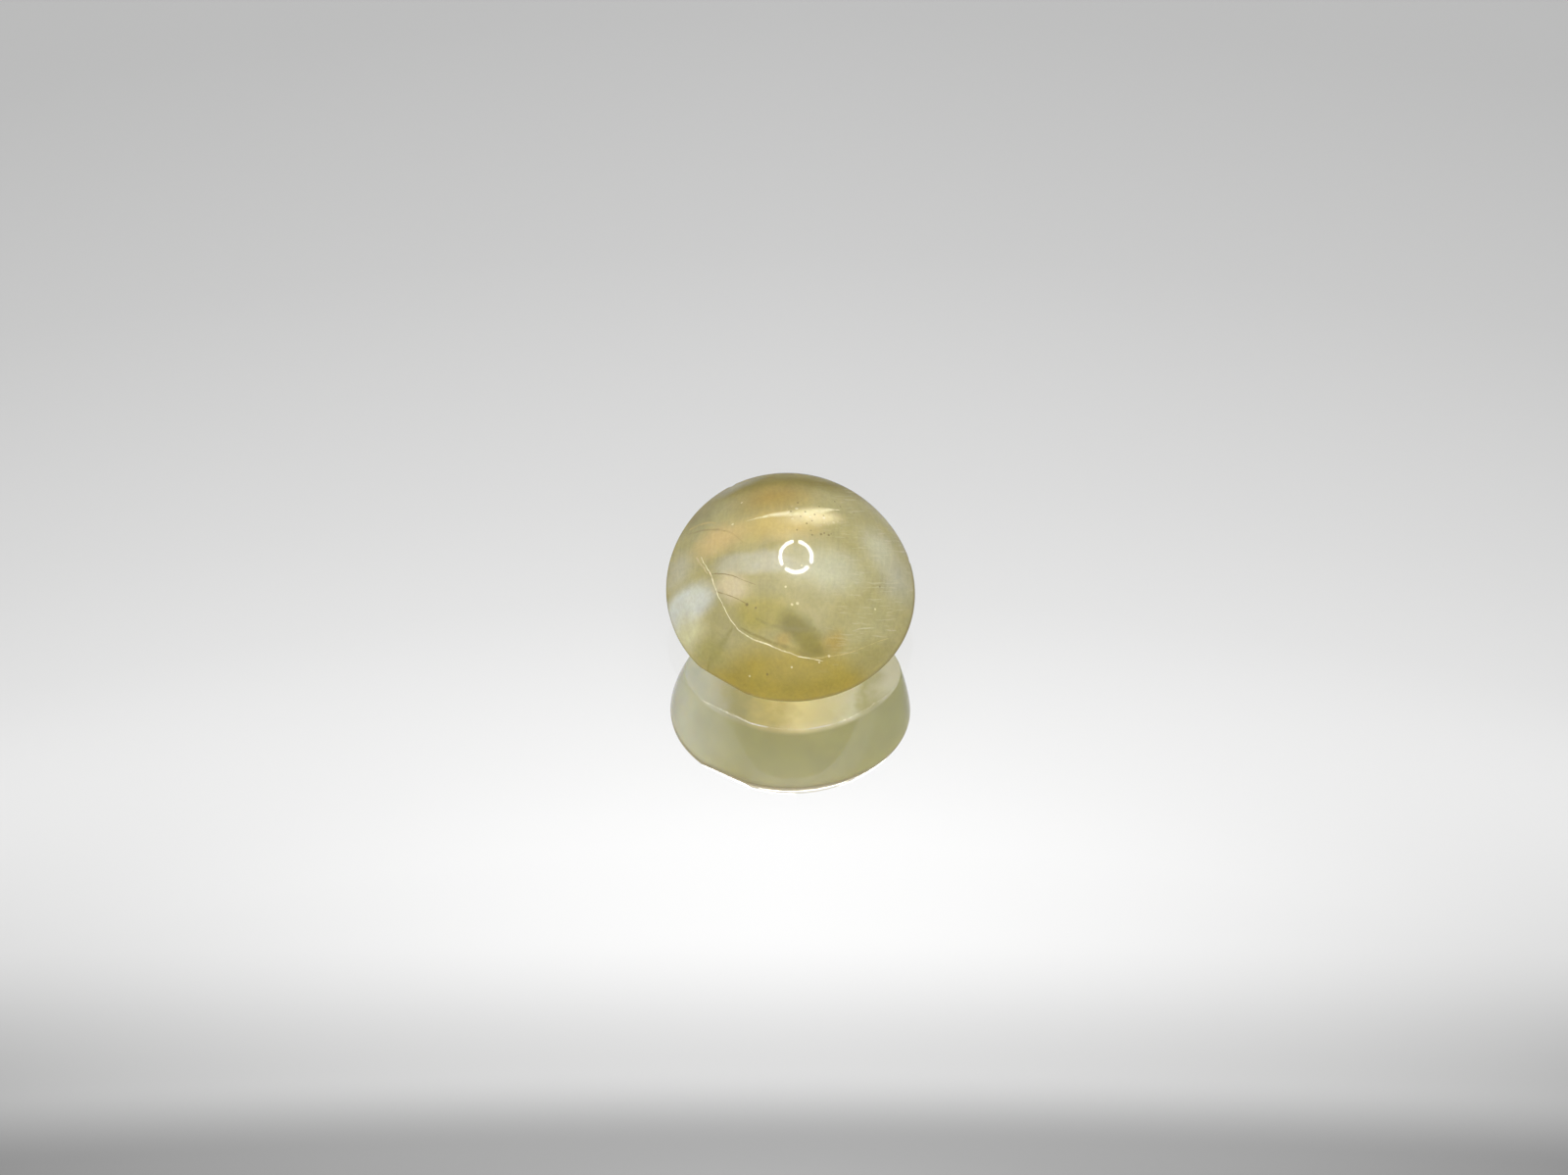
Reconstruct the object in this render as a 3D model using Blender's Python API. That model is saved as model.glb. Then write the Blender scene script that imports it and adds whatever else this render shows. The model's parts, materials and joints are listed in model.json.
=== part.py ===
# A polished chrysoberyl cabochon: one solid stone with a leaning dome, an uneven
# girdle and a flared underside ground flat at its foot. Metres, +Z up; the foot lies
# in the plane Z = 0, +X runs along the long way of its oval and the girdle dips at -Y.

import math

import bmesh
import bpy

MM = 0.001

# Girdle, the widest line round the stone
GIRDLE_HALF_WIDTH = 3.96 * MM
GIRDLE_FRONT = 4.10 * MM
GIRDLE_BACK = 4.00 * MM
GIRDLE_HEIGHT_FRONT = 0.56 * MM
GIRDLE_HEIGHT_SIDE = 1.40 * MM
GIRDLE_HEIGHT_BACK = 2.19 * MM
GIRDLE_SIDEWAYS_TILT = 0.04 * MM
# Unevenness of the hand-cut outline: waves round the stone, amplitude, direction
OUTLINE_WAVES = ((2, 0.010, math.radians(309)), (3, 0.014, math.radians(286)))
# One straight stretch ground into the girdle: direction and distance from the middle
STRAIGHT_SIDE_DIRECTION = math.radians(-121.5)
STRAIGHT_SIDE_DISTANCE = 3.94 * MM

# Dome above the girdle: its highest point and how strongly its top is rounded
STONE_HEIGHT = 3.54 * MM
APEX_X = 0.11 * MM
APEX_Y = 0.57 * MM
TOP_RADIUS_ACROSS = 4.22 * MM
TOP_RADIUS_ALONG = 5.28 * MM

# Flat foot and the flare between it and the girdle
FOOT_HALF_WIDTH = 3.57 * MM
FOOT_HALF_DEPTH = 2.42 * MM
FOOT_MIDDLE_X = 0.10 * MM
FOOT_MIDDLE_Y = 0.34 * MM
FOOT_POINTEDNESS = 1.80
FLARE_ROUNDING = 1.35

# Mesh of the solid
SIDES = 84
LATITUDES = 40
FOOT_LATITUDE = math.radians(-36)
WELD_DISTANCE = 0.0002 * MM
SHARP_ANGLE = math.radians(24)

STONE_NAME = "chrysoberyl_cabochon"
STONE_COLOR = (0.42, 0.33, 0.11, 1.0)
STONE_ROUGHNESS = 0.06
STONE_IOR = 1.75


def clear_scene():
    for item in list(bpy.data.objects):
        bpy.data.objects.remove(item, do_unlink=True)


def signed_power(value, exponent):
    return math.copysign(abs(value) ** exponent, value)


def girdle_point(azimuth):
    """A point of the girdle, seen from the middle of the stone."""
    across = math.cos(azimuth)
    along = math.sin(azimuth)
    depth = GIRDLE_BACK if along > 0 else GIRDLE_FRONT
    wave = 1 + sum(size * math.cos(count * azimuth - turn) for count, size, turn in OUTLINE_WAVES)
    x = GIRDLE_HALF_WIDTH * across * wave
    y = depth * along * wave
    # What stands past the straight side is ground back to it
    side_x = math.cos(STRAIGHT_SIDE_DIRECTION)
    side_y = math.sin(STRAIGHT_SIDE_DIRECTION)
    excess = max(0.0, x * side_x + y * side_y - STRAIGHT_SIDE_DISTANCE)
    x -= excess * side_x
    y -= excess * side_y
    lean = (GIRDLE_HEIGHT_BACK - GIRDLE_HEIGHT_FRONT) / 2
    sag = (GIRDLE_HEIGHT_BACK + GIRDLE_HEIGHT_FRONT) / 2 - GIRDLE_HEIGHT_SIDE
    z = GIRDLE_HEIGHT_SIDE + lean * along + sag * along ** 2 - GIRDLE_SIDEWAYS_TILT * across
    return x, y, z


def foot_edge_point(azimuth):
    """A point of the edge of the flat foot, an oval a little drawn out at its ends."""
    exponent = 2 / FOOT_POINTEDNESS
    x = FOOT_MIDDLE_X + FOOT_HALF_WIDTH * signed_power(math.cos(azimuth), exponent)
    y = FOOT_MIDDLE_Y + FOOT_HALF_DEPTH * signed_power(math.sin(azimuth), exponent)
    return x, y, 0.0


def dome_point(azimuth, latitude):
    """A point of the dome: latitude 0 is the girdle and 90 degrees the apex."""
    girdle_x, girdle_y, girdle_z = girdle_point(azimuth)
    reach_x = girdle_x - APEX_X
    reach_y = girdle_y - APEX_Y
    rise = STONE_HEIGHT - girdle_z
    # With this exponent the top has the two radii above, whatever the girdle does
    fullness = (reach_x ** 2 / TOP_RADIUS_ACROSS + reach_y ** 2 / TOP_RADIUS_ALONG) / rise
    x = APEX_X + reach_x * math.cos(latitude)
    y = APEX_Y + reach_y * math.cos(latitude)
    z = girdle_z + rise * math.sin(latitude) ** fullness
    return x, y, z


def flare_point(azimuth, climb):
    """A point of the flare: climb 0 is the edge of the foot and 1 the girdle."""
    girdle_x, girdle_y, girdle_z = girdle_point(azimuth)
    foot_x, foot_y, foot_z = foot_edge_point(azimuth)
    outward = 1 - (1 - climb) ** FLARE_ROUNDING
    x = foot_x + (girdle_x - foot_x) * outward
    y = foot_y + (girdle_y - foot_y) * outward
    z = foot_z + (girdle_z - foot_z) * climb
    return x, y, z


def foot_point(azimuth, reach):
    """A point of the flat foot: reach 0 is its middle and 1 its edge."""
    edge_x, edge_y, foot_z = foot_edge_point(azimuth)
    x = FOOT_MIDDLE_X + (edge_x - FOOT_MIDDLE_X) * reach
    y = FOOT_MIDDLE_Y + (edge_y - FOOT_MIDDLE_Y) * reach
    return x, y, foot_z


def stone_point(azimuth, latitude):
    """Where a point of the unit sphere lies on the stone."""
    if latitude >= 0:
        return dome_point(azimuth, latitude)
    if latitude > FOOT_LATITUDE:
        return flare_point(azimuth, 1 - latitude / FOOT_LATITUDE)
    return foot_point(azimuth, (latitude + math.pi / 2) / (FOOT_LATITUDE + math.pi / 2))


def shape_stone():
    """A unit sphere whose every point is moved to its place on the stone."""
    shape = bmesh.new()
    bmesh.ops.create_uvsphere(shape, u_segments=SIDES, v_segments=LATITUDES, radius=1)
    for vert in shape.verts:
        azimuth = math.atan2(vert.co.y, vert.co.x)
        latitude = math.asin(max(-1.0, min(1.0, vert.co.z)))
        vert.co = stone_point(azimuth, latitude)
    bmesh.ops.remove_doubles(shape, verts=shape.verts, dist=WELD_DISTANCE)
    center_on_origin(shape)
    bmesh.ops.recalc_face_normals(shape, faces=shape.faces)
    return shape


def center_on_origin(shape):
    """Puts the middle of the stone's outline, seen from above, over the origin."""
    for axis in (0, 1):
        places = [vert.co[axis] for vert in shape.verts]
        middle = (min(places) + max(places)) / 2
        for vert in shape.verts:
            vert.co[axis] -= middle


def stone_material():
    material = bpy.data.materials.new("polished_chrysoberyl")
    material.use_nodes = True
    shader = material.node_tree.nodes["Principled BSDF"]
    shader.inputs["Base Color"].default_value = STONE_COLOR
    shader.inputs["Roughness"].default_value = STONE_ROUGHNESS
    shader.inputs["Metallic"].default_value = 0.0
    shader.inputs["IOR"].default_value = STONE_IOR
    return material


def build_stone(collection):
    shape = shape_stone()
    mesh = bpy.data.meshes.new(STONE_NAME)
    shape.to_mesh(mesh)
    shape.free()
    mesh.materials.append(stone_material())
    mesh.shade_smooth()
    mesh.set_sharp_from_angle(angle=SHARP_ANGLE)
    stone = bpy.data.objects.new(STONE_NAME, mesh)
    collection.objects.link(stone)
    return stone


clear_scene()
stone_collection = bpy.data.collections.new("chrysoberyl")
bpy.context.scene.collection.children.link(stone_collection)
build_stone(stone_collection)
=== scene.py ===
import bpy
import json
import math
from mathutils import Matrix, Vector

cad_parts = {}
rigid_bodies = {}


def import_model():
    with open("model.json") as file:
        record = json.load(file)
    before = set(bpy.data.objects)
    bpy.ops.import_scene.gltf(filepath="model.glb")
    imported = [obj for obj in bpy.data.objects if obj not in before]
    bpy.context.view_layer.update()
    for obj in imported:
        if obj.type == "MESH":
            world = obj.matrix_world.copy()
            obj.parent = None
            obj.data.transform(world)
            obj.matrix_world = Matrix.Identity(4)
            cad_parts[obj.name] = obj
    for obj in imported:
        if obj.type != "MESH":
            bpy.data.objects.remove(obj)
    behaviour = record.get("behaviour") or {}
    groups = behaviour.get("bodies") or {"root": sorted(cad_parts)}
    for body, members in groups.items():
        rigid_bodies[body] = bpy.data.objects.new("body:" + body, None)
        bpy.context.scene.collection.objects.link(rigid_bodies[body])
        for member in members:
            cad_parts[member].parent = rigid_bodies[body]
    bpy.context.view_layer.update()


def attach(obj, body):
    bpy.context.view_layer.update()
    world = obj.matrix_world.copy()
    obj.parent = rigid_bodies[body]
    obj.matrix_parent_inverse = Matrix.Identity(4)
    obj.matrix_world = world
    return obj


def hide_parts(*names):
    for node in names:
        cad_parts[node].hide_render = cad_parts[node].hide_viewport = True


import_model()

mm = 0.001
scene = bpy.context.scene


# the stone: the same form as the solid, much finer, in millimetres until the last step

stone = {
    "name": "chrysoberylStone",
    "segments": 288, "rings": 208,
    "height": 3.54, "apexX": 0.11, "apexY": 0.57,
    "topRadiusAcross": 4.22, "topRadiusAlong": 5.28,
    "halfWidth": 3.96, "front": 4.10, "back": 4.00,
    "girdleFront": 0.56, "girdleSide": 1.40, "girdleBack": 2.19, "sidewaysTilt": 0.04,
    "waves": ((2, 0.010, math.radians(309)), (3, 0.014, math.radians(286))),      # count, size, direction
    "straightSide": math.radians(-121.5), "straightSideDistance": 3.94,
    "footHalfWidth": 3.57, "footHalfDepth": 2.42, "footX": 0.10, "footY": 0.34, "footPointedness": 1.80,
    "flareRounding": 1.35, "footLatitude": math.radians(-36),
    "weldGap": 0.00002, "sharpAngle": math.radians(20), "smoothAngle": math.radians(40),
    "softeningRounds": 3, "softeningShare": 0.5,                     # smoothing of the two edges
    "nicks": ((-1.28, -3.86, 0.11, 0.05), (2.45, -3.02, 0.08, 0.025),            # x, y, radius, depth
              (3.86, 0.9, 0.10, 0.03), (-1.9, 3.55, 0.12, 0.04)),
}


def girdlePoint(azimuth):
    across, along = math.cos(azimuth), math.sin(azimuth)
    depth = stone["back"] if along > 0 else stone["front"]
    wave = 1 + sum(size * math.cos(count * azimuth - turn) for count, size, turn in stone["waves"])
    x, y = stone["halfWidth"] * across * wave, depth * along * wave
    sideX, sideY = math.cos(stone["straightSide"]), math.sin(stone["straightSide"])
    excess = max(0.0, x * sideX + y * sideY - stone["straightSideDistance"])      # ground back to the straight side
    lean = (stone["girdleBack"] - stone["girdleFront"]) / 2
    sag = (stone["girdleBack"] + stone["girdleFront"]) / 2 - stone["girdleSide"]
    z = stone["girdleSide"] + lean * along + sag * along ** 2 - stone["sidewaysTilt"] * across
    return Vector((x - excess * sideX, y - excess * sideY, z))


def footPoint(azimuth):
    across, along = math.cos(azimuth), math.sin(azimuth)
    power = 2 / stone["footPointedness"]
    x = stone["footX"] + stone["footHalfWidth"] * math.copysign(abs(across) ** power, across)
    y = stone["footY"] + stone["footHalfDepth"] * math.copysign(abs(along) ** power, along)
    return Vector((x, y, 0))


def domePoint(azimuth, latitude):
    girdle = girdlePoint(azimuth)
    reachX, reachY = girdle.x - stone["apexX"], girdle.y - stone["apexY"]
    rise = stone["height"] - girdle.z
    fullness = (reachX ** 2 / stone["topRadiusAcross"] + reachY ** 2 / stone["topRadiusAlong"]) / rise
    spread = math.cos(latitude)
    z = girdle.z + rise * math.sin(latitude) ** fullness
    return Vector((stone["apexX"] + reachX * spread, stone["apexY"] + reachY * spread, z))


def stonePoint(azimuth, latitude):
    if latitude >= 0:
        return domePoint(azimuth, latitude)
    foot = footPoint(azimuth)
    if latitude > stone["footLatitude"]:
        girdle = girdlePoint(azimuth)
        climb = 1 - latitude / stone["footLatitude"]
        outward = 1 - (1 - climb) ** stone["flareRounding"]
        point = foot.lerp(girdle, outward)
        point.z = girdle.z * climb
        return point
    reach = (latitude + math.pi / 2) / (stone["footLatitude"] + math.pi / 2)
    return Vector((stone["footX"], stone["footY"], 0)).lerp(foot, reach)


def cutNicks(piece):
    for x, y, radius, depth in stone["nicks"]:                       # small chips in the girdle
        inward = Vector((-x, -y, 0)).normalized() * depth * mm
        for vert in piece.data.vertices:
            gap = math.hypot(vert.co.x / mm - x, vert.co.y / mm - y)
            if gap < radius:
                vert.co += inward * (1 - (gap / radius) ** 2) ** 2


def softenEdges():
    bpy.ops.object.mode_set(mode="EDIT")
    bpy.ops.mesh.select_mode(type="EDGE")
    bpy.ops.mesh.select_all(action="DESELECT")
    bpy.ops.mesh.edges_select_sharp(sharpness=stone["sharpAngle"])
    bpy.ops.mesh.select_more()
    bpy.ops.mesh.vertices_smooth(factor=stone["softeningShare"], repeat=stone["softeningRounds"])
    bpy.ops.object.mode_set(mode="OBJECT")


def makeStone():
    bpy.ops.object.select_all(action="DESELECT")
    bpy.ops.mesh.primitive_uv_sphere_add(segments=stone["segments"], ring_count=stone["rings"], radius=1)
    piece = bpy.context.active_object
    piece.name = stone["name"]
    piece.data.name = stone["name"]
    for vert in piece.data.vertices:
        latitude = math.asin(max(-1, min(1, vert.co.z)))
        vert.co = stonePoint(math.atan2(vert.co.y, vert.co.x), latitude) * mm
    for axis in (0, 1):                                              # centred over the origin, as the solid is
        places = [vert.co[axis] for vert in piece.data.vertices]
        middle = (min(places) + max(places)) / 2
        for vert in piece.data.vertices:
            vert.co[axis] -= middle
    bpy.ops.object.mode_set(mode="EDIT")
    bpy.ops.mesh.select_all(action="SELECT")
    bpy.ops.mesh.remove_doubles(threshold=stone["weldGap"] * mm)
    bpy.ops.mesh.normals_make_consistent(inside=False)
    bpy.ops.object.mode_set(mode="OBJECT")
    cutNicks(piece)
    softenEdges()
    bpy.ops.object.shade_smooth_by_angle(angle=stone["smoothAngle"])
    return piece


stonePiece = makeStone()
print("stone made,", len(stonePiece.data.polygons), "faces")


# small helpers for shader nodes

def addNode(tree, kind, values=None, feeds=None, **settings):
    node = tree.nodes.new(kind)
    for name, setting in settings.items():
        setattr(node, name, setting)
    for name, value in (values or {}).items():
        node.inputs[name].default_value = value
    for name, source in (feeds or {}).items():
        tree.links.new(source, node.inputs[name])
    return node


def fillSocket(tree, socket, value):
    if isinstance(value, bpy.types.NodeSocket):
        tree.links.new(value, socket)
    else:
        socket.default_value = value


def calc(tree, operation, *values):
    node = addNode(tree, "ShaderNodeMath", operation=operation)
    for socket, value in zip(node.inputs, values):
        fillSocket(tree, socket, value)
    return node.outputs[0]


def product(tree, first, *others):
    for other in others:
        first = calc(tree, "MULTIPLY", first, other)
    return first


def opposite(tree, share):
    return calc(tree, "SUBTRACT", 1.0, share)


def calcVector(tree, operation, first, second=None, scale=None):
    node = addNode(tree, "ShaderNodeVectorMath", operation=operation)
    for index, value in ((0, first), (1, second), (3, scale)):
        if value is not None:
            fillSocket(tree, node.inputs[index], value)
    return node.outputs["Value" if operation == "DISTANCE" else "Vector"]


def ramp(tree, value, low, high, start=0.0, end=1.0):
    node = addNode(tree, "ShaderNodeMapRange", interpolation_type="SMOOTHSTEP")
    for socket, entry in zip(node.inputs, (value, low, high, start, end)):
        fillSocket(tree, socket, entry)
    return node.outputs[0]


def blend(tree, factor, below, above, mode="MIX"):
    node = addNode(tree, "ShaderNodeMix", data_type="RGBA", blend_type=mode)
    sockets = {item.identifier: item for item in (*node.inputs, *node.outputs)}
    for name, entry in (("Factor_Float", factor), ("A_Color", below), ("B_Color", above)):
        fillSocket(tree, sockets[name], entry)
    return sockets["Result_Color"]


def darken(tree, color, shade):
    return blend(tree, 1.0, color, shade, mode="MULTIPLY")


def addNoise(tree, place, scale, detail, roughness=0.5):
    return addNode(tree, "ShaderNodeTexNoise", feeds={"Vector": place}, values={
        "Scale": scale, "Detail": detail, "Roughness": roughness})


def gray(level):
    return (level, level, level, 1)


def linear(*tint):
    shares = [value / 255 for value in tint]
    return (*(share / 12.92 if share <= 0.04045 else ((share + 0.055) / 1.055) ** 2.4 for share in shares), 1)


def newGroup(name, inputs, output):
    tree = bpy.data.node_groups.new(name, "ShaderNodeTree")
    for label, kind in inputs:
        tree.interface.new_socket(label, in_out="INPUT", socket_type=kind)
    tree.interface.new_socket(output, in_out="OUTPUT", socket_type="NodeSocketFloat")
    source = tree.nodes.new("NodeGroupInput")
    result = tree.nodes.new("NodeGroupOutput")
    return tree, source.outputs, result.inputs


# shader groups: a soft oval zone in the crystal, and scattered specks

speckLeast = 0.4                                                     # of the radius, added to a chance size
speckCore = 0.5                                                      # share of a speck's size that is solid


def makeZoneGroup():
    tree, given, result = newGroup("mineralZone", (
        ("Place", "NodeSocketVector"), ("Center", "NodeSocketVector"), ("Reach", "NodeSocketVector"),
        ("Turn", "NodeSocketVector"), ("Edge", "NodeSocketFloat")), "Mask")
    mapping = addNode(tree, "ShaderNodeMapping", vector_type="TEXTURE", feeds={
        "Vector": given["Place"], "Location": given["Center"], "Rotation": given["Turn"], "Scale": given["Reach"]})
    ball = addNode(tree, "ShaderNodeTexGradient", gradient_type="SPHERICAL", feeds={"Vector": mapping.outputs[0]})
    tree.links.new(ramp(tree, ball.outputs["Fac"], 0.0, given["Edge"]), result["Mask"])
    return tree


def makeSpeckGroup():
    tree, given, result = newGroup("scatteredSpecks", (
        ("Place", "NodeSocketVector"), ("Spacing", "NodeSocketFloat"), ("Radius", "NodeSocketFloat"),
        ("Share", "NodeSocketFloat")), "Mask")
    cells = addNode(tree, "ShaderNodeTexVoronoi", feeds={
        "Vector": given["Place"], "Scale": calc(tree, "DIVIDE", 1.0, given["Spacing"])})
    gap = product(tree, cells.outputs["Distance"], given["Spacing"])
    parts = addNode(tree, "ShaderNodeSeparateColor", feeds={"Color": cells.outputs["Color"]})
    size = product(tree, given["Radius"], calc(tree, "ADD", parts.outputs[1], speckLeast))
    dot = opposite(tree, ramp(tree, gap, product(tree, size, speckCore), size))
    kept = calc(tree, "LESS_THAN", parts.outputs[0], given["Share"])
    tree.links.new(product(tree, dot, kept), result["Mask"])
    return tree


groups = {"zone": makeZoneGroup(), "specks": makeSpeckGroup()}


def zoneMask(tree, place, center, reach, edge, turn=0, label=""):
    zone = addNode(tree, "ShaderNodeGroup", node_tree=groups["zone"], label=label, feeds={"Place": place}, values={
        "Center": center, "Reach": reach, "Turn": (0, 0, math.radians(turn)), "Edge": edge})
    return zone.outputs[0]


def speckMask(tree, place, spacing, radius, share):
    specks = addNode(tree, "ShaderNodeGroup", node_tree=groups["specks"], feeds={"Place": place}, values={
        "Spacing": spacing, "Radius": radius, "Share": share})
    return specks.outputs[0]


# the crystal: honey green, milky in places, with the silk, healed cracks and pinholes of a cat's-eye stone

crystal = {
    "ior": 1.75, "transmission": 0.35, "roughness": 0.22, "innerGloss": 0.04,
    "coat": 1.0, "coatRoughness": 0.0, "coatIor": 1.75,
    "subsurface": 0.6, "subsurfaceRadius": (1.3, 1.0, 0.4),
    "absorbColor": (0.86, 0.78, 0.38, 1), "absorbDensity": 190,
    "body": (172, 164, 112),
    "softWander": (0.9, 0.36), "fineWander": (0.35, 0.07),           # spacing and amount in mm
    "wanderDetail": 2.0,
}

# mottling: scale per mm, detail, roughness, darkest and brightest shade
mottles = {
    "cloud": (1.1, 5.0, 0.6, 0.93, 1.07),
    "silk": (1.0, 3.0, 0.5, 0.965, 1.035),
    "grain": (9.0, 3.0, 0.7, 0.955, 1.045),
}
mottleRange = (0.3, 0.7)                                             # noise values that give the two shades

# soft zones: middle and reach in mm, turn about Z, edge (1 is the softest), colour, strength
zones = (
    ("crownOlive", (-0.30, 4.30, 2.30), (4.70, 2.50, 2.60), 0, 0.45, (134, 121, 42), 0.90),
    ("lowerHoney", (-0.10, -4.30, 0.90), (4.60, 2.10, 2.70), 0, 0.45, (169, 151, 56), 0.95),
    ("leftShoulder", (-3.00, 2.50, 2.10), (1.40, 1.20, 1.10), 40, 0.90, (140, 132, 88), 0.75),
    ("rightMilk", (1.30, -0.75, 3.15), (2.30, 1.20, 0.95), -6, 0.90, (192, 192, 163), 0.85),
    ("farRightGrey", (3.40, -0.30, 2.05), (1.30, 1.30, 1.20), 0, 0.95, (182, 180, 156), 0.85),
    ("rightUpper", (2.85, 0.55, 2.60), (1.30, 1.20, 0.90), -10, 0.95, (194, 193, 166), 0.85),
    ("leftRim", (-3.60, 0.20, 1.85), (1.15, 1.05, 0.95), 0, 0.90, (188, 184, 158), 0.85),
    ("backLeftRim", (-1.90, 3.30, 2.40), (1.50, 0.55, 0.80), 22, 0.95, (168, 166, 150), 0.75),
    ("rightLow", (2.60, -1.90, 2.00), (1.30, 1.10, 1.00), 20, 0.90, (172, 166, 116), 0.80),
    ("upperGold", (-0.60, 2.15, 3.20), (2.00, 1.25, 1.00), 0, 0.95, (176, 148, 62), 0.92),
    ("goldBand", (-0.50, 0.78, 3.45), (2.10, 0.95, 0.80), 0, 0.80, (202, 180, 108), 0.95),
    # the next zone is painted sheen: a bright glow along the silk band near the top
    ("silkSheenGlow", (0.75, 1.20, 3.40), (1.40, 0.52, 0.60), 10, 0.90, (252, 236, 186), 0.90),
    ("leftOrange", (-2.20, 0.70, 2.80), (1.60, 0.90, 1.05), 5, 0.90, (216, 190, 130), 0.98),
    ("middleMilk", (-1.15, -0.50, 3.10), (2.10, 0.55, 0.85), -9, 0.50, (188, 184, 158), 0.85),
    ("leftMilk", (-3.45, -1.24, 1.72), (1.85, 0.92, 1.45), 15, 0.55, (210, 212, 200), 0.95),
    ("leftLowMilk", (-3.20, -1.90, 1.35), (1.15, 0.85, 0.95), 0, 0.80, (208, 204, 162), 0.85),
    ("warmHeart", (-1.85, -1.15, 2.75), (0.95, 0.70, 0.65), -25, 0.75, (216, 202, 166), 0.85),
    ("heartGreen", (-0.80, -2.15, 2.65), (1.50, 0.90, 0.85), -10, 0.75, (168, 157, 76), 0.88),
    ("lowerLeftOlive", (-2.50, -2.70, 1.40), (0.85, 0.90, 0.90), -35, 0.80, (160, 152, 80), 0.80),
    ("rightOlive", (2.55, -2.70, 1.35), (1.05, 0.80, 0.80), 20, 0.85, (164, 154, 86), 0.75),
    ("darkPatch", (0.20, -2.55, 2.55), (1.02, 0.62, 0.70), -34, 0.72, (122, 114, 28), 0.95),
    ("darkPatchTail", (0.66, -2.94, 2.14), (0.84, 0.60, 0.66), -58, 0.72, (135, 125, 42), 0.95),
    ("honeySpot", (1.38, -2.80, 2.10), (0.60, 0.60, 0.55), 0, 0.90, (172, 147, 62), 0.80),
    ("smallHoneySpot", (-0.22, -2.83, 2.28), (0.42, 0.34, 0.38), 0, 0.80, (172, 150, 76), 0.75),
)

# lines in the dome, seen from above: the way they run, points (place along, place across, half width) in mm,
# share of the half width that is solid, colour, strength
lines = (
    ("crownCurve", "x",
     ((-3.23, 1.53, 0.05), (-2.72, 1.36, 0.06), (-2.18, 1.06, 0.07), (-1.83, 0.74, 0.06), (-1.55, 0.37, 0.04)),
     0.10, (150, 128, 84), 0.50),
    ("crownCurveRim", "x",
     ((-3.20, 1.75, 0.06), (-2.86, 1.74, 0.06), (-2.45, 1.55, 0.05)),
     0.20, (206, 182, 116), 0.60),
    ("darkPatchEdge", "x",
     ((-1.07, -2.26, 0.05), (-0.52, -2.50, 0.07), (0.16, -2.62, 0.09), (0.74, -2.58, 0.08)),
     0.10, (136, 128, 68), 0.55),
    ("featherUpper", "x",
     ((-2.51, -0.50, 0.027), (-2.23, -0.60, 0.027), (-1.88, -0.77, 0.023), (-1.54, -1.01, 0.019),
      (-1.17, -1.23, 0.012)),
     0.20, (140, 120, 76), 0.75),
    ("featherLower", "x",
     ((-2.35, -1.14, 0.024), (-2.04, -1.33, 0.026), (-1.76, -1.51, 0.023), (-1.40, -1.76, 0.015)),
     0.20, (140, 122, 72), 0.70),
    ("lowerLeftStreak", "x",
     ((-2.63, -3.00, 0.18), (-2.54, -2.83, 0.22), (-2.22, -2.67, 0.20), (-1.91, -2.40, 0.12)),
     0.0, (138, 130, 62), 0.50),
    ("shadeOfArc", "x",
     ((-1.54, -2.40, 0.045), (-1.20, -2.61, 0.054), (-0.64, -2.88, 0.063), (-0.12, -3.05, 0.072),
      (0.32, -3.16, 0.081), (0.69, -3.20, 0.072), (0.94, -3.22, 0.045)),
     0.10, (136, 124, 60), 0.60),
    # the next line is the silk band with painted sheen on it: a bright streak across the top
    ("silkSheenStreak", "x",
     ((-1.35, 1.16, 0.02), (-0.75, 1.23, 0.08), (-0.21, 1.26, 0.14), (0.42, 1.31, 0.18), (0.85, 1.43, 0.18),
      (1.25, 1.59, 0.10), (1.55, 1.70, 0.02)),
     0.0, (255, 246, 200), 0.90),
    ("arcStart", "y",
     ((-0.36, -2.67, 0.028), (-0.04, -2.83, 0.035), (0.31, -2.99, 0.035)),
     0.20, (218, 200, 158), 0.60),
    ("arcUpper", "y",
     ((-2.50, -1.56, 0.018), (-2.20, -1.82, 0.018), (-1.89, -2.00, 0.014), (-1.59, -2.16, 0.014),
      (-1.14, -2.35, 0.018), (-0.82, -2.45, 0.023), (-0.49, -2.54, 0.021), (-0.14, -2.70, 0.014),
      (0.22, -2.83, 0.014)),
     0.25, (255, 247, 206), 1.0),
    ("arcLower", "x",
     ((-1.64, -2.42, 0.018), (-1.26, -2.70, 0.023), (-0.70, -2.95, 0.025), (-0.15, -3.14, 0.019),
      (0.22, -3.23, 0.016), (0.66, -3.28, 0.014), (0.96, -3.28, 0.010)),
     0.25, (255, 247, 206), 1.0),
    ("arcBranch", "x",
     ((0.66, -3.27, 0.019), (1.21, -3.16, 0.017), (2.05, -2.86, 0.010), (2.52, -2.57, 0.009),
      (3.05, -2.21, 0.007)),
     0.20, (214, 198, 130), 0.70),
    ("scratches", "x",
     ((2.02, -2.37, 0.022), (2.27, -2.25, 0.022), (2.46, -2.18, 0.020)),
     0.10, (206, 202, 168), 0.60),
    ("scratchesRight", "x",
     ((3.05, -1.99, 0.020), (3.28, -1.88, 0.020)),
     0.10, (206, 202, 172), 0.60),
)
lineSpan = 8.0                                                       # mm that the lines' curves cover, from -4 to 4
lineTip = 0.01                                                       # share of the span in which a line ends
lineFade = 1.15                                                      # half widths at which a line has faded out
widthGain = 10                                                       # the curves hold the widths this much larger
leastWidth = 0.0001
flicker = {"noise": (2.4, 3.0, 0.7), "dim": 0.40, "bright": 0.56, "least": 0.4}    # along the lines

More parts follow.
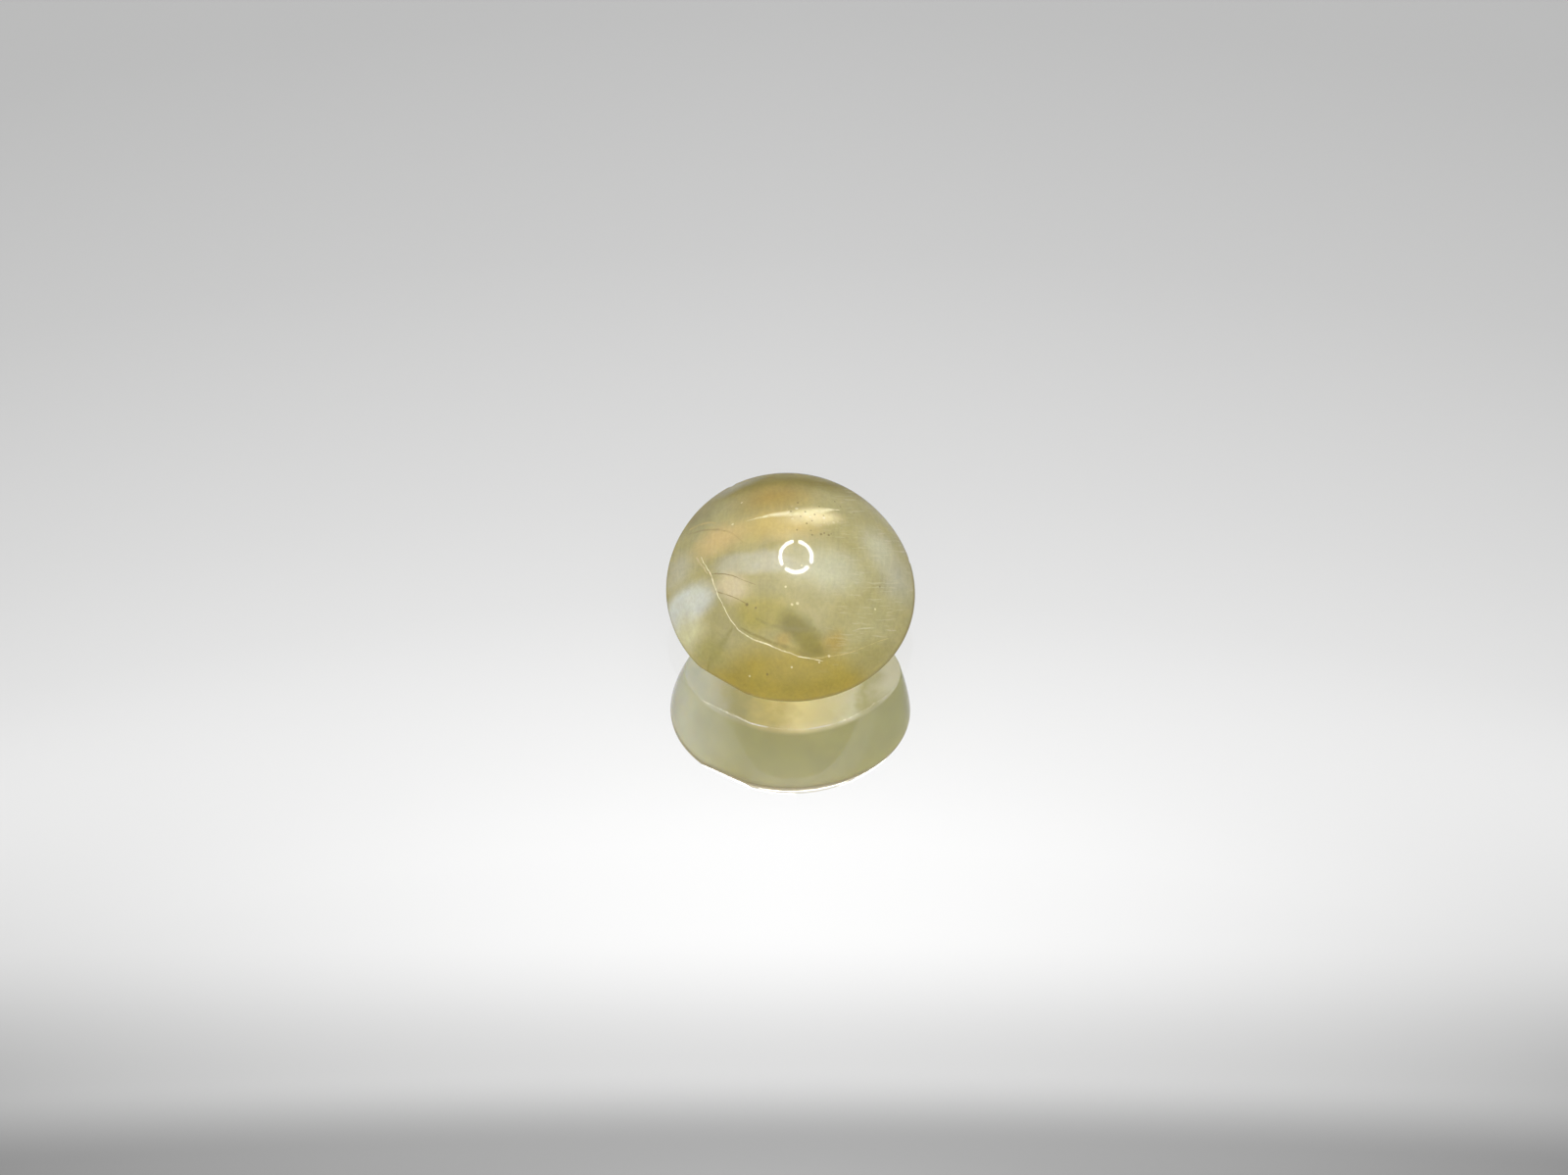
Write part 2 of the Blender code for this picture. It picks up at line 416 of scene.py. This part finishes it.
# dots: middle in mm and radius; dark pinholes by the silk, pale specks in the heart
pinholes = (
    (0.23, 1.79, 3.39, 0.045), (0.92, 1.67, 3.34, 0.040), (1.42, 2.08, 3.10, 0.035), (0.01, 1.36, 3.48, 0.038),
    (0.48, 1.37, 3.46, 0.034), (0.32, 1.14, 3.50, 0.032), (0.76, 1.27, 3.44, 0.036), (1.04, 1.28, 3.38, 0.032),
    (0.51, 0.85, 3.51, 0.046), (0.20, 0.55, 3.54, 0.040), (0.97, 0.46, 3.45, 0.050), (1.07, 0.52, 3.43, 0.042),
    (1.22, 0.47, 3.39, 0.046), (0.69, 0.39, 3.49, 0.038), (1.61, 1.88, 3.08, 0.034), (2.02, 1.76, 2.94, 0.030),
    (-1.38, -1.80, 2.71, 0.060), (-1.10, -1.93, 2.73, 0.045), (2.84, -0.84, 2.39, 0.045), (-0.73, -3.58, 1.42, 0.050),
)
paleSpecks = (
    (0.04, -1.95, 2.91, 0.050), (0.22, -1.92, 2.92, 0.065), (-0.15, -1.43, 3.14, 0.045), (0.35, -0.74, 3.37, 0.035),
    (-1.56, 2.13, 2.98, 0.040), (-1.84, 1.17, 3.06, 0.055), (1.21, -3.15, 1.81, 0.050), (0.04, -3.48, 1.65, 0.045),
    (0.90, -3.33, 1.71, 0.040), (-1.29, -3.53, 1.26, 0.040), (2.68, -1.60, 2.20, 0.045),
)
dots = {
    "core": 0.45, "edge": 1.1,                                       # in radii
    "holeColor": (112, 98, 58), "holeStrength": 0.75, "paleColor": (236, 226, 176), "paleStrength": 0.8,
}

# the silk's fibres, the sparkle by it as painted glints, and the small dark holes under it: specks are spacing,
# radius, share kept
silk = {
    "fibres": (9.0, 1.1, 9.0),                                       # fine across, long along Y
    "sparkCenter": (0.70, 1.25, 3.42), "sparkReach": (1.30, 0.55, 0.60), "sparkEdge": 0.9,
    "sparks": (0.15, 0.050, 0.5), "sparkColor": (252, 244, 210),
    "holeCenter": (0.95, 0.95, 3.45), "holeReach": (1.15, 0.95, 0.60), "holeEdge": 0.7,
    "holes": (0.21, 0.042, 0.45), "holeStrength": 0.6,
}

# fine scratches across the right side of the dome
scratches = {
    "turn": (math.radians(38), 0, math.radians(-2)), "reach": (0.50, 0.065, 2.5), "detail": 2.0,
    "faint": 0.56, "full": 0.70, "startX": 0.4, "endX": 2.4, "strength": 0.30, "lowZ": 1.1, "highZ": 1.8,
    "color": (214, 210, 178),
}

# where one surface ends and the next begins, in mm over the girdle and over the foot
seams = {
    "girdleDrop": 0.04,                                              # how far the seam lies under the girdle's sides
    "domeFrom": -0.03, "domeTo": 0.02, "footTop": 0.005, "footEnd": 0.05,
    # the rim's colour and strength paint shade: a dark band just over the girdle
    "rimMiddle": 0.03, "rimFull": 0.02, "rimEnd": 0.14, "rimShadeColor": (120, 110, 80), "rimShadeStrength": 0.6,
}

# the flare: honey green, greyer to the right, milky to the left
flare = {
    "color": (169, 164, 64),
    "rightColor": (168, 166, 88), "rightFrom": 1.5, "rightTo": 3.8,
    "leftColor": (212, 212, 176), "leftFrom": -1.4, "leftTo": -3.7,
}

# the ground foot from -X to +X: share of the way across, colour
footTints = (
    (0.06, (196, 200, 182)), (0.17, (210, 208, 180)), (0.28, (178, 170, 112)), (0.41, (214, 196, 116)),
    (0.55, (244, 230, 164)), (0.66, (226, 216, 160)), (0.75, (230, 226, 190)), (0.82, (186, 180, 120)),
    (0.92, (212, 208, 176)),
)
footDrift = {"perMm": 0.125, "start": 0.38, "cloud": 0.24}           # share of the way across, stirred by the cloud

# a painted glint: a pale line round the edge of the foot, strongest a little to both sides of the middle, broken by
# the cloud
edgeGlint = {
    "full": 0.008, "end": 0.020,                                     # share of the foot's reach off its edge
    "low": 0.03, "high": 0.07,
    "sideFrom": 1.3, "sideTo": 2.1, "sideShare": 0.1, "middleFrom": 0.4, "middleTo": 0.9, "middleShare": 0.3,
    "cloudFrom": 0.42, "cloudTo": 0.52, "color": (255, 252, 240),
}

# polish: a glassy dome that is duller far back, a slightly dull flare, a ground foot, small pits
polish = {
    "flareRoughness": 0.30, "footRoughness": 0.5, "footCoat": 0.35, "rimCoat": 0.15,
    "backFrom": 2.0, "backTo": 3.2, "backLoss": 0.75,
    "pits": (0.30, 0.035, 0.16), "fibreRelief": 0.4, "strength": 0.25, "depth": 0.01,
}


def wander(tree, place, spacing, amount):
    noise = addNoise(tree, place, 1 / spacing, crystal["wanderDetail"])
    offset = calcVector(tree, "SUBTRACT", noise.outputs["Color"], (0.5, 0.5, 0.5))
    return calcVector(tree, "ADD", place, calcVector(tree, "SCALE", offset, scale=amount))


def mottle(tree, place, name):
    scale, detail, roughness, darkest, brightest = mottles[name]
    noise = addNoise(tree, place, scale, detail, roughness).outputs["Fac"]
    return noise, ramp(tree, noise, *mottleRange, darkest, brightest)


def paintZones(tree, place, color):
    for name, center, reach, turn, edge, tint, strength in zones:
        mask = zoneMask(tree, place, center, reach, edge, turn, name)
        color = blend(tree, product(tree, mask, strength), color, linear(*tint))
    return color


def shapeCurve(node, points):
    curve = node.mapping.curves[0].points
    for index, (along, value) in enumerate(points):
        if index < 2:
            curve[index].location = (along, value)
        else:
            curve.new(along, value)
    node.mapping.update()


def lineMask(tree, along, across, points, core):
    places, asides, widths = zip(*points)
    places = [place / lineSpan + 0.5 for place in places]
    asides = [aside / lineSpan + 0.5 for aside in asides]
    widths = [width / lineSpan * widthGain for width in widths]
    course = addNode(tree, "ShaderNodeFloatCurve", feeds={"Value": along})
    shapeCurve(course, list(zip(places, asides)))
    breadth = addNode(tree, "ShaderNodeFloatCurve", feeds={"Value": along})
    shapeCurve(breadth, [(places[0] - lineTip, 0.0), *zip(places, widths), (places[-1] + lineTip, 0.0)])
    gap = calc(tree, "ABSOLUTE", calc(tree, "SUBTRACT", across, course.outputs[0]))
    nearness = calc(tree, "DIVIDE", gap, calc(tree, "MAXIMUM", breadth.outputs[0], leastWidth))
    return ramp(tree, nearness, core / widthGain, lineFade / widthGain, 1.0, 0.0)


def paintLines(tree, place, color):
    shares = addNode(tree, "ShaderNodeMapping", vector_type="POINT", feeds={"Vector": place}, values={
        "Location": (0.5, 0.5, 0.5), "Scale": (1 / lineSpan,) * 3})
    x, y = addNode(tree, "ShaderNodeSeparateXYZ", feeds={"Vector": shares.outputs[0]}).outputs[:2]
    noise = addNoise(tree, place, *flicker["noise"])
    brightness = ramp(tree, noise.outputs["Fac"], flicker["dim"], flicker["bright"], flicker["least"], 1.0)
    for name, way, points, core, tint, strength in lines:
        along, across = (x, y) if way == "x" else (y, x)
        mask = lineMask(tree, along, across, points, core)
        color = blend(tree, product(tree, mask, strength, brightness), color, linear(*tint))
    return color


def paintDots(tree, place, color, spots, tint, strength):
    nearest = None
    for x, y, z, radius in spots:
        gap = calc(tree, "DIVIDE", calcVector(tree, "DISTANCE", place, (x, y, z)), radius)
        nearest = gap if nearest is None else calc(tree, "MINIMUM", nearest, gap)
    mask = ramp(tree, nearest, dots["core"], dots["edge"], 1.0, 0.0)
    return blend(tree, product(tree, mask, strength), color, linear(*tint))


def paintSilk(tree, place, finePlace, color):
    # painted glints: pale sparks scattered by the silk
    bySilk = zoneMask(tree, place, silk["sparkCenter"], silk["sparkReach"], silk["sparkEdge"])
    sparks = speckMask(tree, place, *silk["sparks"])
    color = blend(tree, product(tree, bySilk, sparks), color, linear(*silk["sparkColor"]))
    underSilk = zoneMask(tree, place, silk["holeCenter"], silk["holeReach"], silk["holeEdge"])
    holes = speckMask(tree, finePlace, *silk["holes"])
    return blend(tree, product(tree, underSilk, holes, silk["holeStrength"]), color, linear(*dots["holeColor"]))


def paintScratches(tree, place, x, z, color):
    across = addNode(tree, "ShaderNodeMapping", vector_type="TEXTURE", feeds={"Vector": place}, values={
        "Rotation": scratches["turn"], "Scale": scratches["reach"]})
    noise = addNoise(tree, across.outputs[0], 1.0, scratches["detail"]).outputs["Fac"]
    mask = product(tree, ramp(tree, noise, scratches["faint"], scratches["full"]),
                   ramp(tree, x, scratches["startX"], scratches["endX"], 0.0, scratches["strength"]),
                   ramp(tree, z, scratches["lowZ"], scratches["highZ"]))
    return blend(tree, mask, color, linear(*scratches["color"]))


def paintFlare(tree, x):
    toRight = ramp(tree, x, flare["rightFrom"], flare["rightTo"])
    color = blend(tree, toRight, linear(*flare["color"]), linear(*flare["rightColor"]))
    toLeft = ramp(tree, x, flare["leftTo"], flare["leftFrom"], 1.0, 0.0)
    return blend(tree, toLeft, color, linear(*flare["leftColor"]))


def paintFoot(tree, x, cloud):
    straight = calc(tree, "MULTIPLY_ADD", x, footDrift["perMm"], footDrift["start"])
    drift = calc(tree, "MULTIPLY_ADD", cloud, footDrift["cloud"], straight)
    band = addNode(tree, "ShaderNodeValToRGB", feeds={"Fac": drift})
    stops = band.color_ramp.elements
    for index, (share, tint) in enumerate(footTints):
        stop = stops[index] if index < 2 else stops.new(share)
        stop.position, stop.color = share, linear(*tint)
    return band.outputs["Color"]


def footOvalTerm(tree, value, middle, reach):
    share = calc(tree, "DIVIDE", calc(tree, "SUBTRACT", value, middle), reach)
    return calc(tree, "POWER", calc(tree, "ABSOLUTE", share), stone["footPointedness"])


def edgeGlintMask(tree, x, y, z, cloud):
    across = footOvalTerm(tree, x, stone["footX"], stone["footHalfWidth"])
    along = footOvalTerm(tree, y, stone["footY"], stone["footHalfDepth"])
    fromEdge = calc(tree, "ABSOLUTE", calc(tree, "SUBTRACT", calc(tree, "ADD", across, along), 1.0))
    aside = calc(tree, "ABSOLUTE", x)
    return product(tree, ramp(tree, fromEdge, edgeGlint["full"], edgeGlint["end"], 1.0, 0.0),
                   ramp(tree, z, edgeGlint["low"], edgeGlint["high"], 1.0, 0.0),
                   ramp(tree, aside, edgeGlint["sideFrom"], edgeGlint["sideTo"], 1.0, edgeGlint["sideShare"]),
                   ramp(tree, aside, edgeGlint["middleFrom"], edgeGlint["middleTo"], edgeGlint["middleShare"], 1.0),
                   ramp(tree, cloud, edgeGlint["cloudFrom"], edgeGlint["cloudTo"]))


def makeStoneMaterial():
    material = bpy.data.materials.new("polishedChrysoberyl")
    material.use_nodes = True
    tree = material.node_tree
    shader = tree.nodes["Principled BSDF"]

    objectPlace = addNode(tree, "ShaderNodeTexCoord").outputs["Object"]
    place = calcVector(tree, "SCALE", objectPlace, scale=1 / mm)     # millimetres from here on
    softPlace = wander(tree, place, *crystal["softWander"])
    finePlace = wander(tree, place, *crystal["fineWander"])
    x, y, z = addNode(tree, "ShaderNodeSeparateXYZ", feeds={"Vector": place}).outputs

    # masks: the dome above the girdle, the thin rim on it where shade is painted, and the foot
    lean = (stone["girdleBack"] - stone["girdleFront"]) / (stone["back"] + stone["front"])
    level = calc(tree, "ADD", product(tree, y, lean), stone["girdleSide"] - seams["girdleDrop"])
    overGirdle = calc(tree, "SUBTRACT", z, level)
    dome = ramp(tree, overGirdle, seams["domeFrom"], seams["domeTo"])
    fromRim = calc(tree, "ABSOLUTE", calc(tree, "SUBTRACT", overGirdle, seams["rimMiddle"]))
    shadedRim = ramp(tree, fromRim, seams["rimFull"], seams["rimEnd"], 1.0, 0.0)
    foot = ramp(tree, z, seams["footTop"], seams["footEnd"], 1.0, 0.0)

    # the dome: body, zones, cloudiness, silk and grain, then what lies in it and on it
    fibrePlace = addNode(tree, "ShaderNodeMapping", vector_type="POINT", feeds={"Vector": place}, values={
        "Scale": silk["fibres"]}).outputs[0]
    cloud, cloudShade = mottle(tree, place, "cloud")
    fibres, fibreShade = mottle(tree, fibrePlace, "silk")
    grainShade = mottle(tree, place, "grain")[1]
    color = paintZones(tree, softPlace, linear(*crystal["body"]))
    for shade in (cloudShade, fibreShade, grainShade):
        color = darken(tree, color, shade)
    color = paintLines(tree, finePlace, color)
    color = paintDots(tree, finePlace, color, pinholes, dots["holeColor"], dots["holeStrength"])
    color = paintDots(tree, finePlace, color, paleSpecks, dots["paleColor"], dots["paleStrength"])
    color = paintSilk(tree, place, finePlace, color)
    color = paintScratches(tree, finePlace, x, z, color)

    # below the girdle, then the painted shade on the rim and the painted glint round the foot
    flareColor = darken(tree, paintFlare(tree, x), cloudShade)
    footColor = darken(tree, paintFoot(tree, x, cloud), cloudShade)
    color = blend(tree, dome, blend(tree, foot, flareColor, footColor), color)
    # painted shade: a dark band along the rim just over the girdle
    color = blend(tree, product(tree, shadedRim, seams["rimShadeStrength"]), color, linear(*seams["rimShadeColor"]))
    # painted glint: a pale line round the edge of the foot
    color = blend(tree, edgeGlintMask(tree, x, y, z, cloud), color, linear(*edgeGlint["color"]))
    tree.links.new(color, shader.inputs["Base Color"])

    # polish and relief
    rough = blend(tree, dome, gray(polish["flareRoughness"]), gray(crystal["roughness"]))
    rough = blend(tree, foot, rough, gray(polish["footRoughness"]))
    tree.links.new(rough, shader.inputs["Roughness"])
    coat = blend(tree, foot, gray(crystal["coat"]), gray(polish["footCoat"]))
    coat = blend(tree, ramp(tree, y, polish["backFrom"], polish["backTo"], 0.0, polish["backLoss"]), coat, gray(0.0))
    coat = blend(tree, shadedRim, coat, gray(polish["rimCoat"]))
    tree.links.new(coat, shader.inputs["Coat Weight"])
    pits = speckMask(tree, place, *polish["pits"])
    height = calc(tree, "SUBTRACT", product(tree, fibres, polish["fibreRelief"]), pits)
    bump = addNode(tree, "ShaderNodeBump", feeds={"Height": height}, values={
        "Strength": polish["strength"], "Distance": polish["depth"] * mm})
    tree.links.new(bump.outputs[0], shader.inputs["Normal"])

    for name, value in (
            ("IOR", crystal["ior"]), ("Specular IOR Level", crystal["innerGloss"]),
            ("Transmission Weight", crystal["transmission"]), ("Coat Roughness", crystal["coatRoughness"]),
            ("Coat IOR", crystal["coatIor"]), ("Subsurface Weight", crystal["subsurface"]),
            ("Subsurface Radius", crystal["subsurfaceRadius"]), ("Subsurface Scale", mm)):
        shader.inputs[name].default_value = value
    absorb = addNode(tree, "ShaderNodeVolumeAbsorption", values={
        "Color": crystal["absorbColor"], "Density": crystal["absorbDensity"]})
    tree.links.new(absorb.outputs["Volume"], tree.nodes["Material Output"].inputs["Volume"])
    return material


stonePiece.data.materials.clear()
stonePiece.data.materials.append(makeStoneMaterial())
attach(stonePiece, "root")
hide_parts("chrysoberyl_cabochon")
print("stone finished,", len(stonePiece.data.materials[0].node_tree.nodes), "nodes in its material")


# the floor: a pale glossy plane a little below a thin clear layer that the stone rests on

floor = {
    "size": 1.2, "glossDepth": 1.7978 * mm, "clearDepth": 0.002 * mm,
    "color": (0.93, 0.93, 0.93, 1), "metallic": 0.93, "clearIor": 1.5,
}


def addPlane(name, depth):
    bpy.ops.object.select_all(action="DESELECT")
    bpy.ops.mesh.primitive_plane_add(size=floor["size"], location=(0, 0, -depth))
    plane = bpy.context.active_object
    plane.name = name
    plane.visible_shadow = False                                     # the light under the floor reaches the stone
    material = bpy.data.materials.new(name)
    material.use_nodes = True
    plane.data.materials.append(material)
    return material.node_tree


def makeFloor():
    shader = addPlane("paleFloor", floor["glossDepth"]).nodes["Principled BSDF"]
    shader.inputs["Base Color"].default_value = floor["color"]
    shader.inputs["Metallic"].default_value = floor["metallic"]
    shader.inputs["Roughness"].default_value = 0.0

    tree = addPlane("clearLayer", floor["clearDepth"])
    tree.nodes.remove(tree.nodes["Principled BSDF"])
    clear = addNode(tree, "ShaderNodeBsdfTransparent")
    gloss = addNode(tree, "ShaderNodeBsdfAnisotropic", values={"Roughness": 0.0})
    fresnel = addNode(tree, "ShaderNodeFresnel", values={"IOR": floor["clearIor"]})
    above = opposite(tree, addNode(tree, "ShaderNodeNewGeometry").outputs["Backfacing"])
    share = product(tree, fresnel.outputs[0], above)
    mix = addNode(tree, "ShaderNodeMixShader", feeds={0: share, 1: clear.outputs[0], 2: gloss.outputs[0]})
    tree.links.new(mix.outputs[0], tree.nodes["Material Output"].inputs["Surface"])


makeFloor()
print("floor laid")


# light: a pale soft room, and a ring lamp in three arcs high behind the stone that lights the stone alone

lamp = {
    "direction": (0.034, 0.284, 0.958), "distance": 0.30, "radius": 0.0715, "inner": 0.79,
    "strength": 11.0, "gaps": (90, 219, 333), "gapWidth": 18, "vertices": 180,
}


def makeRingLamp():
    toward = Vector(lamp["direction"]).normalized()
    side = Vector((1, 0, 0)) - toward * toward.x
    side.normalize()
    up = toward.cross(side)                                          # points away from the camera and down
    bpy.ops.object.select_all(action="DESELECT")
    bpy.ops.mesh.primitive_circle_add(vertices=lamp["vertices"], radius=1)
    ring = bpy.context.active_object
    ring.name = "ringLamp"
    bpy.ops.object.mode_set(mode="EDIT")
    bpy.ops.mesh.select_all(action="SELECT")
    bpy.ops.mesh.extrude_edges_move()
    bpy.ops.transform.resize(value=(lamp["inner"], lamp["inner"], 1))
    bpy.ops.mesh.select_mode(type="FACE")
    bpy.ops.mesh.select_all(action="DESELECT")
    bpy.ops.object.mode_set(mode="OBJECT")
    for face in ring.data.polygons:
        angle = math.degrees(math.atan2(face.center.y, face.center.x)) % 360
        face.select = any(abs((angle - gap + 180) % 360 - 180) < lamp["gapWidth"] / 2 for gap in lamp["gaps"])
    bpy.ops.object.mode_set(mode="EDIT")
    bpy.ops.mesh.delete(type="FACE")
    bpy.ops.object.mode_set(mode="OBJECT")
    ring.rotation_euler = Matrix((side, up, toward)).transposed().to_euler()
    ring.location = toward * lamp["distance"]
    ring.scale = (lamp["radius"], lamp["radius"], 1)
    material = bpy.data.materials.new("lampLight")
    material.use_nodes = True
    tree = material.node_tree
    tree.nodes.remove(tree.nodes["Principled BSDF"])
    glow = addNode(tree, "ShaderNodeEmission", values={"Strength": lamp["strength"]})
    clear = addNode(tree, "ShaderNodeBsdfTransparent")
    both = addNode(tree, "ShaderNodeAddShader", feeds={0: glow.outputs[0], 1: clear.outputs[0]})
    tree.links.new(both.outputs[0], tree.nodes["Material Output"].inputs["Surface"])
    ring.data.materials.append(material)
    lit = bpy.data.collections.new("litByRing")
    lit.objects.link(stonePiece)
    ring.light_linking.receiver_collection = lit


# soft lights that don't show in the gloss: name, direction, distance in m, size in m, power in W
softLights = (
    ("softTop", (0.0, 0.35, 1.0), 0.30, 0.30, 0.44),
    ("softFront", (0.1, -1.0, 0.75), 0.30, 0.30, 0.70),
    ("softBelow", (0.0, -0.25, -1.0), 0.30, 0.30, 1.00),
    ("softLeft", (-1.0, -0.5, 0.35), 0.30, 0.25, 0.38),
    ("softRight", (1.0, -0.5, 0.35), 0.30, 0.25, 0.34),
)


def makeSoftLights():
    for name, direction, distance, size, power in softLights:
        data = bpy.data.lights.new(name, "AREA")
        data.size, data.energy = size, power
        light = bpy.data.objects.new(name, data)
        scene.collection.objects.link(light)
        toward = Vector(direction).normalized()
        light.location = toward * distance
        light.rotation_euler = toward.to_track_quat("Z", "Y").to_euler()
        light.visible_camera = False
        light.visible_glossy = False


# the room: its brightness by the sine of the height above the horizon, and where it is darker
room = {
    "heights": ((0.0, 0.40), (0.45, 0.44), (0.694, 0.52), (0.734, 0.61), (0.772, 0.75), (0.789, 0.83), (0.806, 0.95),
                (0.823, 1.06), (0.845, 1.04), (1.0, 1.00)),
    "brightest": 1.2, "tint": (0.995, 0.995, 0.993, 1), "sideFall": 0.30,
    "frontShare": 0.75, "frontFrom": -0.5, "frontTo": 0.3,
    "shadeArch": 0.35, "shadeStart": 0.836, "shadeStep": 0.854, "shadeFull": 0.863, "shadeEnd": 0.90,
    "shadeGentle": 0.45, "shadeSteep": 0.55, "shadeNarrow": 0.25, "shadeWide": 0.5,
    "shadeBack": 0.3, "shadeDepth": 0.62,
    "cornerFall": 10.0, "cornerMost": 0.45, "cornerLow": 0.795, "cornerHigh": 0.84,
    "cornerFront": 0.35, "cornerBack": 0.5,
}


def makeWorld():
    world = bpy.data.worlds.new("paleRoom")
    scene.world = world
    world.use_nodes = True
    tree = world.node_tree
    direction = addNode(tree, "ShaderNodeTexCoord").outputs["Generated"]
    x, y, z = addNode(tree, "ShaderNodeSeparateXYZ", feeds={"Vector": direction}).outputs
    aside, asideSquared = calc(tree, "ABSOLUTE", x), product(tree, x, x)
    heights = addNode(tree, "ShaderNodeValToRGB", feeds={"Fac": z})
    stops = heights.color_ramp.elements
    for index, (place, level) in enumerate(room["heights"]):
        stop = stops[index] if index < 2 else stops.new(place)
        stop.position, stop.color = place, gray(level / room["brightest"])
    falloff = opposite(tree, product(tree, aside, room["sideFall"]))
    front = ramp(tree, y, room["frontFrom"], room["frontTo"], room["frontShare"], 1.0)

    # a soft shade behind the stone, just under the lamp
    high = calc(tree, "MULTIPLY_ADD", asideSquared, room["shadeArch"], z)
    gentle = ramp(tree, high, room["shadeStart"], room["shadeStep"], 0.0, room["shadeGentle"])
    steep = ramp(tree, high, room["shadeStep"], room["shadeFull"], 0.0, room["shadeSteep"])
    shade = product(tree, calc(tree, "ADD", gentle, steep),
                    ramp(tree, z, room["shadeFull"], room["shadeEnd"], 1.0, 0.0),
                    ramp(tree, aside, room["shadeNarrow"], room["shadeWide"], 1.0, 0.0),
                    ramp(tree, y, 0.0, room["shadeBack"], 0.0, room["shadeDepth"]))

    # and a slow fall of the light towards both sides there
    fall = calc(tree, "MINIMUM", product(tree, asideSquared, room["cornerFall"]), room["cornerMost"])
    corner = product(tree, fall, ramp(tree, z, room["cornerLow"], room["cornerHigh"]),
                     ramp(tree, y, room["cornerFront"], room["cornerBack"]))
    level = product(tree, heights.outputs["Color"], falloff, front, opposite(tree, shade), opposite(tree, corner))
    background = tree.nodes["Background"]
    tree.links.new(darken(tree, level, room["tint"]), background.inputs["Color"])
    background.inputs["Strength"].default_value = room["brightest"]


makeRingLamp()
makeSoftLights()
makeWorld()
scene.view_settings.view_transform = "Standard"
print("lights set")


# the camera, looking down on the stone at 52 degrees

view = {
    "elevation": math.radians(51.961), "distance": 130.897 * mm,
    "aim": (-0.2087 * mm, -0.4706 * mm, 1.8900 * mm), "lens": 94.2255, "sensor": 36,
    "nearest": mm, "farthest": 10,
}


def makeCamera():
    data = bpy.data.cameras.new("camera")
    camera = bpy.data.objects.new("camera", data)
    scene.collection.objects.link(camera)
    back = Vector((0, -math.cos(view["elevation"]), math.sin(view["elevation"])))
    camera.location = Vector(view["aim"]) + back * view["distance"]
    camera.rotation_euler = (math.pi / 2 - view["elevation"], 0, 0)
    data.lens, data.sensor_width = view["lens"], view["sensor"]
    data.clip_start, data.clip_end = view["nearest"], view["farthest"]
    scene.camera = camera


makeCamera()
print("camera set")
